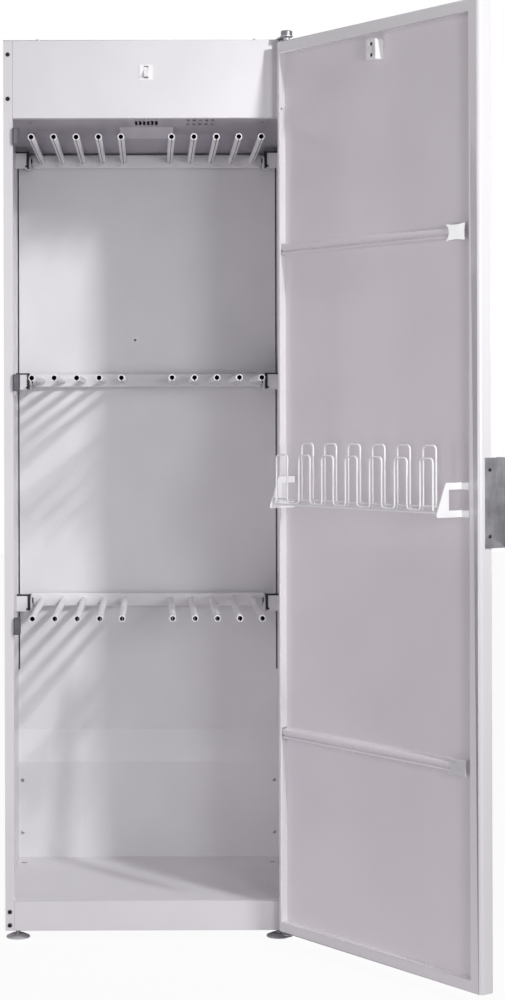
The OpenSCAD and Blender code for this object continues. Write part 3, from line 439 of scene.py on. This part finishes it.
def rounded(node, radius_mm, long_mm=0.0, outer_only=False, segments=3, latch_mm=0.0, clamp=True):
    """Copies a solid and bevels its edges that are longer than long_mm and turn by over 40 degrees.

    With outer_only, just the edges on two sides of the solid's own box are rounded, and those on
    the door's rim plane. With latch_mm the upright corner at the door's latch side is rounded by
    that much, inside and outside. Segments says how many facets make up a rounding. Without
    clamp, the radius isn't made smaller where two bevels come close to each other.
    """
    mesh, form = merged(node)
    weigh_edges(form, body_of[node], radius_mm, long_mm, outer_only, latch_mm)
    form.to_mesh(mesh)
    form.free()
    shade_smooth(mesh)
    piece = stand_in(node, mesh, [finish_of(node)])
    bevel = piece.modifiers.new("edge", "BEVEL")
    bevel.limit_method = "WEIGHT"
    bevel.width = max(radius_mm, latch_mm) * MM
    bevel.segments = segments
    bevel.harden_normals = True
    bevel.use_clamp_overlap = clamp
    return piece


SIDES_AND_TOP = ["left_side_panel", "right_side_panel", "top_panel"]
BETWEEN_SIDES = ["header_panel", "plinth_panel", "floor_panel"]
for node in SIDES_AND_TOP:
    rounded(node, radius_mm=2.0, long_mm=15, outer_only=True)
rounded("door_shell", radius_mm=2.2, long_mm=60, outer_only=True, segments=4, latch_mm=7.0,
        clamp=False)
for node in BETWEEN_SIDES:
    rounded(node, radius_mm=1.2, long_mm=30, outer_only=True)
print(len(SIDES_AND_TOP) + len(BETWEEN_SIDES), "panels and the door's shell rounded")

# %% [markdown]
# The smaller pieces can take a bevel on every sharp edge, as none of them has a sheet thinner
# than the bevel is wide. Most mouldings and screw heads have more of a radius than cut plate.

# %% Small pieces
SHORTEST_MM = 1.0
SMALL_RADII_MM = {
    "strike_block": 1.2, "switch_body": 1.0, "magnet_housings": 0.8, "handle": 0.5,
    "foot_pads": 0.8, "top_hinge_bracket": 0.6, "lower_hinge_bracket": 0.6,
    "air_deflector": 0.35, "glove_rack_arms": 0.5, "exhaust_collar": 0.4,
    "rail_end_plates": 0.4, "stile_screws": 0.9, "handle_screws": 0.8, "top_screws": 0.9,
    "top_hinge_pin": 0.8, "upper_rack_pivots": 0.6, "middle_rack_pivots": 0.6,
    "lower_rack_pivots": 0.6,
}

for node, radius in SMALL_RADII_MM.items():
    rounded(node, radius, SHORTEST_MM)
print(len(SMALL_RADII_MM), "small pieces rounded")

# %% [markdown]
# ## Rolled rails
#
# The two rails across the door's panel are roll formed. In the photo each shows a flange along
# its upper side, a flat face, a dark groove and a bright bead under it. A rolled section is one
# outline pushed along a line, which is a grid with the outline on one side and the length on the
# other. The outline stays inside the solid's own box.

# %% Rolled rails
# Height above the rail's middle, and distance out from the panel
RAIL_SECTION_MM = np.array([
    [15, 0], [15, 1], [11.6, 1.1], [10.6, 2.2], [8.8, 9.6], [8, 11.2], [6.6, 11.9], [0.5, 11.9],
    [-1.8, 11.7], [-3.2, 10.4], [-4.2, 8.0], [-5.2, 8.0], [-6.0, 10.2], [-7.2, 11.7], [-8.8, 11.9],
    [-10.4, 10.6], [-11.6, 7.6], [-12.2, 2.2], [-13.0, 1.1], [-15, 1], [-15, 0]])


def rolled_rail(node):
    """Pushes the rail's outline from one end of its solid to the other.

    The grid has two rows, one for each end of the solid, and a column for each outline point. A
    point's place along the rail is that end. Outwards it is the solid's back plus the point's
    distance, and upwards the solid's middle plus the point's height.
    """
    axes = own_axes("door")
    spots = np.array([v.co for v in nodes[node].data.vertices]) @ axes.T
    low, high = spots.min(0), spots.max(0)
    count = len(RAIL_SECTION_MM)
    grid = np.empty((2, count, 3))
    grid[:, :, 0] = [[low[0]], [high[0]]]
    grid[:, :, 1] = low[1] + RAIL_SECTION_MM[:, 1] * MM
    grid[:, :, 2] = (low[2] + high[2]) / 2 + RAIL_SECTION_MM[:, 0] * MM
    ring = np.arange(count)
    after = np.roll(ring, -1)
    sides = np.stack([ring, after, after + count, ring + count], 1).tolist()
    ends = [ring.tolist(), (ring[::-1] + count).tolist()]
    mesh = bpy.data.meshes.new(node + "_rolled")
    mesh.from_pydata((grid.reshape(-1, 3) @ axes).tolist(), [], sides + ends)
    form = bmesh.new()
    form.from_mesh(mesh)
    bmesh.ops.recalc_face_normals(form, faces=form.faces)
    form.to_mesh(mesh)
    form.free()
    shade_smooth(mesh, sharp_deg=50)
    return stand_in(node, mesh, [finish_of(node)])


for node in ["upper_rail", "lower_rail"]:
    print(node, "has", len(rolled_rail(node).data.polygons), "faces")

# %% [markdown]
# ## Pipe bores
#
# The racks' pipes are rolled from strip and painted from the outside, so their bores are bare.
# Their near-black colour is painted shade, the dark deep inside a narrow tube, so that each mouth
# reads as a black dot. Every face of a pipe whose normal looks towards the pipe's own axis belongs
# to its bore. The pipes run along Y, so an axis is a point in X and Z. Its height is the middle of
# the pipes' box. Its place across follows from the box's width and the pipes' spacing, which is
# even but for a wider gap in the middle.

# %% Dark bores
LEVELS = ["upper", "middle", "lower"]
PIPES = 10
PIPE_PITCH_MM = 47
MIDDLE_GAP_MM = 106
# A face looks inwards when its place off the axis times its normal is less than this
FACES_INWARD_M = -1e-5
# Painted shade: near black for the bores' insides, where little light gets in.
BORE_PAINTED_SHADE = moulded("bore_painted_shade", "#1B1A1C", "#121113", 0.8)


def pipe_places(low_x, high_x, pipe_r):
    """The pipes' X places: two groups of five at one pitch, with a wider gap in the middle.

    The outermost pipe is half the box's width less a pipe's radius from the middle. Four pitches
    and half the gap make up that distance, which gives the pitch.
    """
    half = (high_x - low_x) / 2 - pipe_r
    pitch = half / (PIPES / 2 - 1 + MIDDLE_GAP_MM / PIPE_PITCH_MM / 2)
    side = half - pitch * np.arange(PIPES // 2)
    return np.concatenate([-side, side[::-1]]) + (low_x + high_x) / 2


def dress_pipes(node):
    """Copies a rack's pipes and paints shade on the faces that look towards their pipe's axis."""
    mesh, form = merged(node)
    form.to_mesh(mesh)
    form.free()
    stand_in(node, mesh, [RACK_WHITE, BORE_PAINTED_SHADE])
    count = len(mesh.polygons)
    middle, normal = np.empty(count * 3), np.empty(count * 3)
    mesh.polygons.foreach_get("center", middle)
    mesh.polygons.foreach_get("normal", normal)
    middle, normal = middle.reshape(-1, 3), normal.reshape(-1, 3)
    low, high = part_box(node)
    axis_z = (low[2] + high[2]) / 2
    pipe_r = (high[2] - low[2]) / 2
    across = middle[:, 0, None] - pipe_places(low[0], high[0], pipe_r)[None, :]
    nearest = np.abs(across).argmin(1)
    away = np.stack([across[np.arange(count), nearest], middle[:, 2] - axis_z], 1)
    inward = (away * normal[:, [0, 2]]).sum(1) < FACES_INWARD_M
    # The bore faces take the painted shade.
    mesh.polygons.foreach_set("material_index", inward.astype(np.int32))
    shade_smooth(mesh)
    return int(inward.sum())


for level in LEVELS:
    print(level, "rack:", dress_pipes(level + "_rack_pipes"), "bore faces")

# %% [markdown]
# ## Lamps
#
# The cabinet stands in a white studio. A hard key lamp, hardly larger than a hand, hangs to the
# front right of the open door and above it: it throws the shadows of the door's edge, the header
# and the pipes on the back liner. A larger and softer lamp stands further off at the front right,
# and the right stile's soft shadow from it falls on the liner's right part. Two faintly violet
# lamps fill the rest, a broad one from the front and one from the left, which faces the door.
#
# The key hangs almost in the plane of the open door, and a little behind its inner face. A second
# key therefore lights the door alone, from further off and from the inner side of that plane, so
# that it grazes the inner face. Light linking, below, says what each of the two reaches.

# %% Lamps
VIOLET_TINT = "#F6F2F7"
KEY_BEAM_DEG = 120


def lamp(name, at, aim, watts, size, beam_deg=180, colour="#FFFFFF"):
    """A rectangular lamp, with its place, its aim and its width and height in metres."""
    data = bpy.data.lights.new(name, "AREA")
    data.energy = watts
    data.color = linear(colour)[:3]
    data.shape = "RECTANGLE"
    data.size, data.size_y = size
    data.spread = math.radians(beam_deg)
    obj = bpy.data.objects.new(name, data)
    obj.location = at
    x, y, z = np.array(aim) - np.array(at)
    obj.rotation_euler = (math.atan2(math.hypot(x, y), -z), 0, math.atan2(y, x) - math.pi / 2)
    bpy.context.scene.collection.objects.link(obj)
    return obj


key = lamp("key", at=(1.475, -1.65, 2.38), aim=(-0.2, 0.45, 0.6), watts=17.4, size=(0.07, 0.25),
           beam_deg=KEY_BEAM_DEG)
door_key = lamp("door_key", at=(1.72, -2.34, 2.7), aim=(0.3, 0.0, 0.8), watts=18.0,
                size=(0.08, 0.27), beam_deg=KEY_BEAM_DEG)
lamp("side", at=(1.16, -2.9, 1.25), aim=(0.0, 0.4, 1.0), watts=17.0, size=(0.5, 0.6))
lamp("front", at=(0.9, -4.2, 0.8), aim=(0.1, 0.4, 0.6), watts=6.0, size=(1.2, 1.0),
     colour=VIOLET_TINT)
lamp("left", at=(-1.85, -1.6, 0.6), aim=(0.35, 0.1, 0.8), watts=10.5, size=(0.5, 0.9),
     colour=VIOLET_TINT)
print("the key is", round(math.dist(key.location, door_key.location), 2), "m from the door's key")

# %% [markdown]
# ## The room
#
# The room lights the cabinet dimly and faintly violet, which is why unlit enamel looks violet
# grey. To the camera, in mirrored light and through anything clear it is plain white instead,
# like a studio's backdrop.

# %% Room
ROOM_LIGHT = 0.28

world = bpy.data.worlds.new("room")
world.use_nodes = True
room = world.node_tree
room.nodes.clear()
ray = add_node(room, "LightPath")
through = combine(room, "MAXIMUM", ray.outputs["Is Camera Ray"], ray.outputs["Is Transmission Ray"])
sees_white = combine(room, "MAXIMUM", through, ray.outputs["Is Glossy Ray"])
violet = add_node(room, "Background", Color=linear(VIOLET_TINT), Strength=ROOM_LIGHT)
white = add_node(room, "Background", Color=linear("#FFFFFF"), Strength=1.0)
mixed = add_node(room, "MixShader", _0=sees_white, _1=violet.outputs["Background"],
                 _2=white.outputs["Background"])
add_node(room, "OutputWorld", Surface=mixed.outputs["Shader"])
bpy.context.scene.world = world
print("the room lights with a strength of", ROOM_LIGHT)

# %% [markdown]
# ## The floor
#
# The floor is a matt pale grey sheet that sends light up at the cabinet. Seen by the camera it
# mostly glows white, so that it nearly runs into the backdrop and keeps a hint of the shadows.

# %% Floor
FLOOR_HALF_M = 12.0
GLOW_SHARE = 0.95


def floor_material():
    """Matt and pale grey to the cabinet, and nearly white to the camera, with a faint shadow."""
    material, tree, place = new_material("studio_floor")
    grey = tones(tree, noise(tree, place, size_mm=400), "#D0CED1", "#D4D2D5")
    matt = add_node(tree, "BsdfDiffuse", Color=grey)
    glow = add_node(tree, "Emission", Color=linear("#FFFFFF"), Strength=1.0)
    seen = add_node(tree, "LightPath").outputs["Is Camera Ray"]
    share = combine(tree, "MULTIPLY", seen, GLOW_SHARE)
    both = add_node(tree, "MixShader", _0=share, _1=matt.outputs["BSDF"],
                    _2=glow.outputs["Emission"])
    add_node(tree, "OutputMaterial", Surface=both.outputs["Shader"])
    return material


corners = np.array([[-1, -1, 0], [1, -1, 0], [1, 1, 0], [-1, 1, 0]]) * FLOOR_HALF_M
floor_mesh = bpy.data.meshes.new("studio_floor")
floor_mesh.from_pydata(corners.tolist(), [], [(0, 1, 2, 3)])
floor_mesh.materials.append(floor_material())
floor = bpy.data.objects.new("studio_floor", floor_mesh)
bpy.context.scene.collection.objects.link(floor)
print("the floor is", 2 * FLOOR_HALF_M, "m wide")

# %% [markdown]
# ## The camera
#
# The camera stands 4.5 m in front of the cabinet and 1.12 m high, level, with its picture
# shifted instead of tilted, so that the uprights stay upright but for a slight roll, with which
# they lean a hair to the left. The distance, height and lens follow from how the racks and the
# opened door converge in the photo.

# %% Camera
# In pixels of the photo: its long side, its middle, the vanishing point of the lines that run
# back, and what a tangent of one covers
PICTURE_LONG_SIDE = 1000
PICTURE_MIDDLE = (252.5, 500)
VANISHING_POINT = (153, 408)
PIXELS_PER_TANGENT = 2143
SENSOR_MM = 36.0
CAMERA_AT = (0.0128, -4.5, 1.117)
CAMERA_ROLL_DEG = 0.15

camera_data = bpy.data.cameras.new("camera")
camera_data.sensor_width = SENSOR_MM
camera_data.lens = SENSOR_MM * PIXELS_PER_TANGENT / PICTURE_LONG_SIDE
camera_data.shift_x = (PICTURE_MIDDLE[0] - VANISHING_POINT[0]) / PICTURE_LONG_SIDE
camera_data.shift_y = (VANISHING_POINT[1] - PICTURE_MIDDLE[1]) / PICTURE_LONG_SIDE
camera = bpy.data.objects.new("camera", camera_data)
camera.location = CAMERA_AT
camera.rotation_euler = (math.radians(90), math.radians(CAMERA_ROLL_DEG), 0)
bpy.context.scene.collection.objects.link(camera)
bpy.context.scene.camera = camera
bpy.context.scene.view_settings.view_transform = "Standard"
print("the lens is", round(camera_data.lens, 1), "mm")

# %% [markdown]
# ## Light linking
#
# The two key lamps are linked last, when every piece exists: one collection lists what rides on
# the door, and each lamp takes in or leaves out the pieces of that list. Only what a lamp lights
# changes with this. The door still throws its shadow in the light of the first key.

# %% Link the key lamps
door_nodes = {nodes[name] for name in nodes if body_of[name] == "door"}
door_pieces = [o for o in bpy.data.objects if o in door_nodes or o.get("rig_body") == "door"]
for key_lamp, state in [(key, "EXCLUDE"), (door_key, "INCLUDE")]:
    reached = bpy.data.collections.new("reached_by_" + key_lamp.name)
    for piece in door_pieces:
        reached.objects.link(piece)
    key_lamp.light_linking.receiver_collection = reached
    for entry in reached.collection_objects:
        entry.light_linking.link_state = state
print(len(door_pieces), "pieces on the door")
